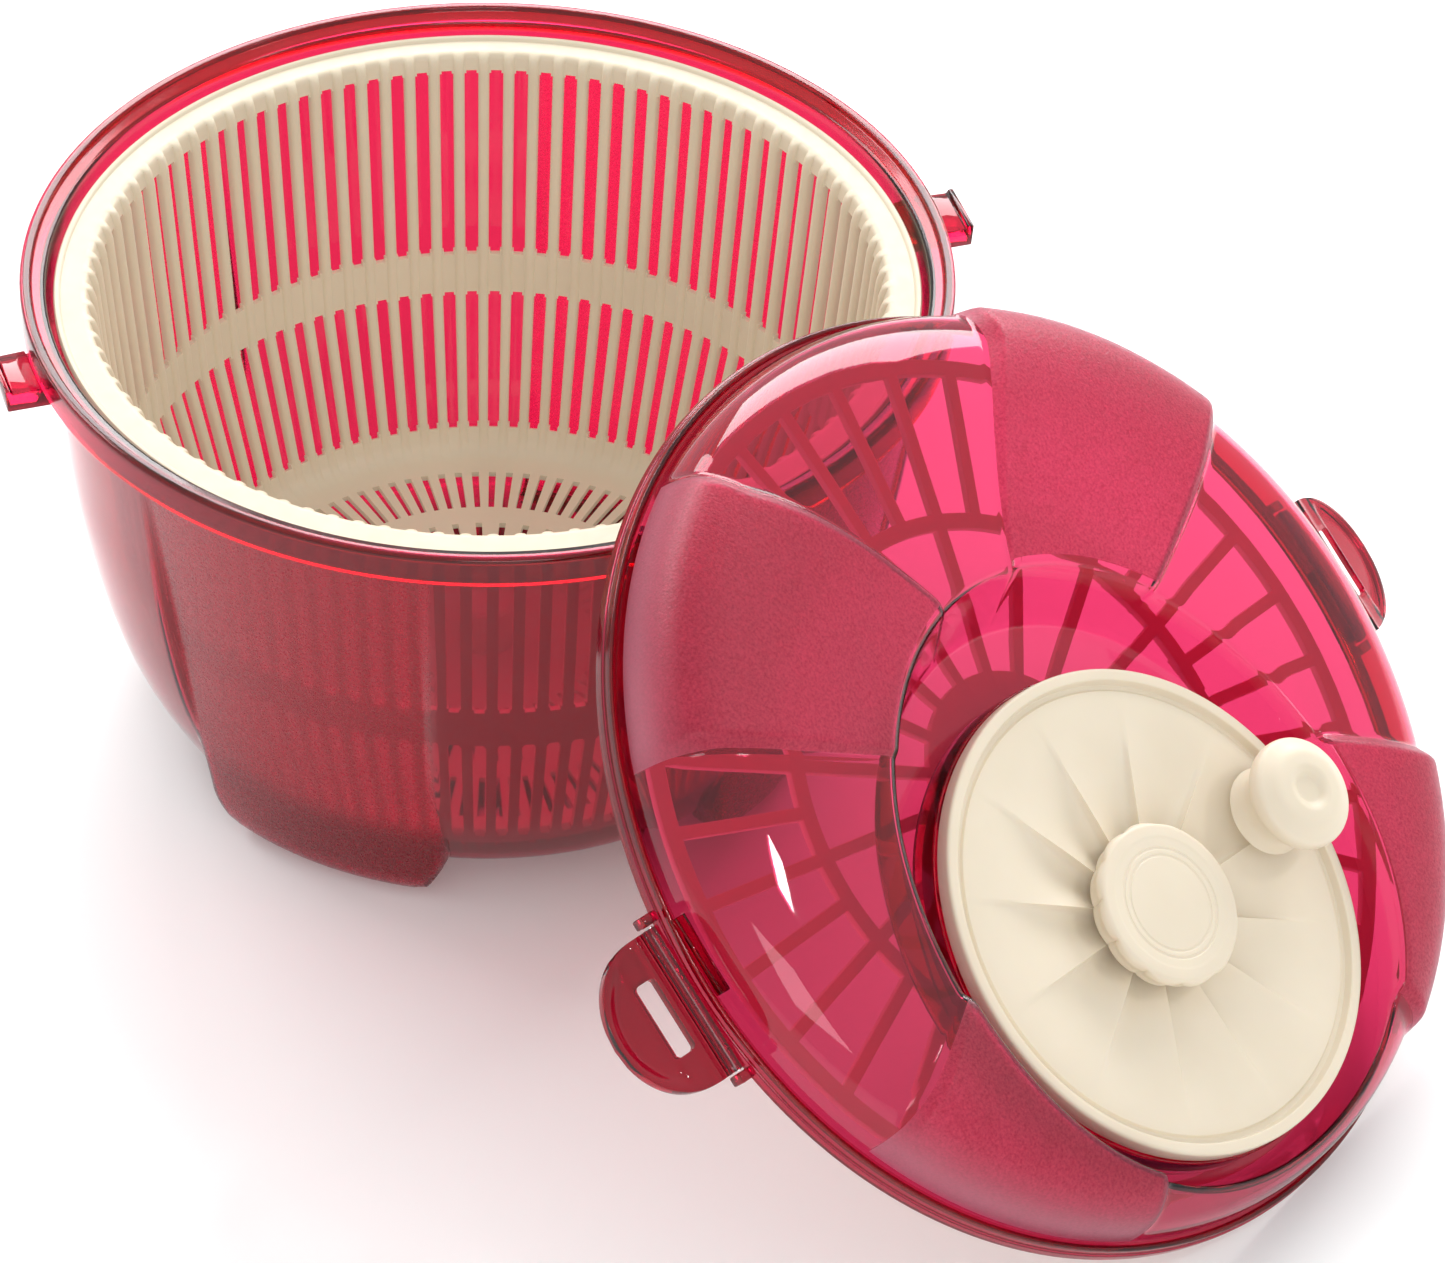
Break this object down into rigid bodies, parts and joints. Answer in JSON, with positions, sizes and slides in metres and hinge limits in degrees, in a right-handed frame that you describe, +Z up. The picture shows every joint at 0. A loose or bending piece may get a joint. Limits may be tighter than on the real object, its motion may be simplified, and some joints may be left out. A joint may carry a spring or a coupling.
{
  "type": "salad spinner",
  "caption": "Round tinted bowl with a slotted spinning basket, and a domed lid leaning beside it whose off-centre crank disc turns a spoked drive plate.",
  "frame": {"origin": "middle of the object's footprint, on the table", "axes": "+X from the bowl towards the leaning lid, +Z up"},
  "size_m": [0.475, 0.3554, 0.1992],
  "materials": {
    "tinted_plastic": "clear raspberry, glossy, with frosted panels and petals",
    "cream_plastic": "opaque cream, satin",
    "steel": "plain steel, hidden pins and screws"
  },
  "bodies": {
    "bowl": {"bowl": "tinted_plastic", "pivot_pin": "tinted_plastic"},
    "bearing_cup": {"bearing_cup": "cream_plastic"},
    "basket": {"basket": "cream_plastic"},
    "lid": {"lid_dome": "tinted_plastic", "latch_pin_left": "steel", "latch_pin_right": "steel", "pinion_bush": "steel", "crank_axle": "steel"},
    "latch_left": {"latch_left": "tinted_plastic"},
    "latch_right": {"latch_right": "tinted_plastic"},
    "crank": {"crank_disc": "cream_plastic", "ring_gear": "cream_plastic", "crank_hub_cap": "cream_plastic", "knob_spindle": "cream_plastic"},
    "knob": {"knob_grip": "cream_plastic"},
    "drive": {"drive_pinion": "cream_plastic", "drive_plate": "cream_plastic", "drive_plate_screw": "steel"}
  },
  "joints": [
    {"name": "basket_lift", "type": "slide", "parent": "bowl", "child": "bearing_cup", "axis": [0, 0, 1], "range_m": [0, 0.012]},
    {"name": "basket_spin", "type": "hinge", "parent": "bearing_cup", "child": "basket", "pos_m": [-0.09753, 0.03775, 0.03], "axis": [0, 0, 1], "continuous": true},
    {"name": "lid_lift", "type": "slide", "parent": "bowl", "child": "lid", "axis": [0, 0, 1], "range_m": [0, 0.15]},
    {"name": "latch_left_fold", "type": "hinge", "parent": "lid", "child": "latch_left", "pos_m": [0.10755, -0.14549, 0.10846], "axis": [0.7542, -0.1262, -0.6444], "range_deg": [0, 90]},
    {"name": "latch_right_fold", "type": "hinge", "parent": "lid", "child": "latch_right", "pos_m": [0.13575, 0.14616, 0.08436], "axis": [-0.7542, 0.1262, 0.6444], "range_deg": [-20, 70]},
    {"name": "crank_spin", "type": "hinge", "parent": "lid", "child": "crank", "pos_m": [0.16048, -0.00945, 0.06323], "axis": [0.6496, 0, 0.7603], "continuous": true},
    {"name": "knob_spin", "type": "hinge", "parent": "crank", "child": "knob", "pos_m": [0.16168, 0.04553, 0.06221], "axis": [0.6496, 0, 0.7603], "continuous": true},
    {"name": "drive_spin", "type": "hinge", "parent": "lid", "child": "drive", "pos_m": [0.12165, 0.00034, 0.09641], "axis": [0.6496, 0, 0.7603], "continuous": true}
  ],
  "couplings": [
    {"joint": "drive_spin", "follows": "crank_spin", "ratio": 5.3333}
  ]
}
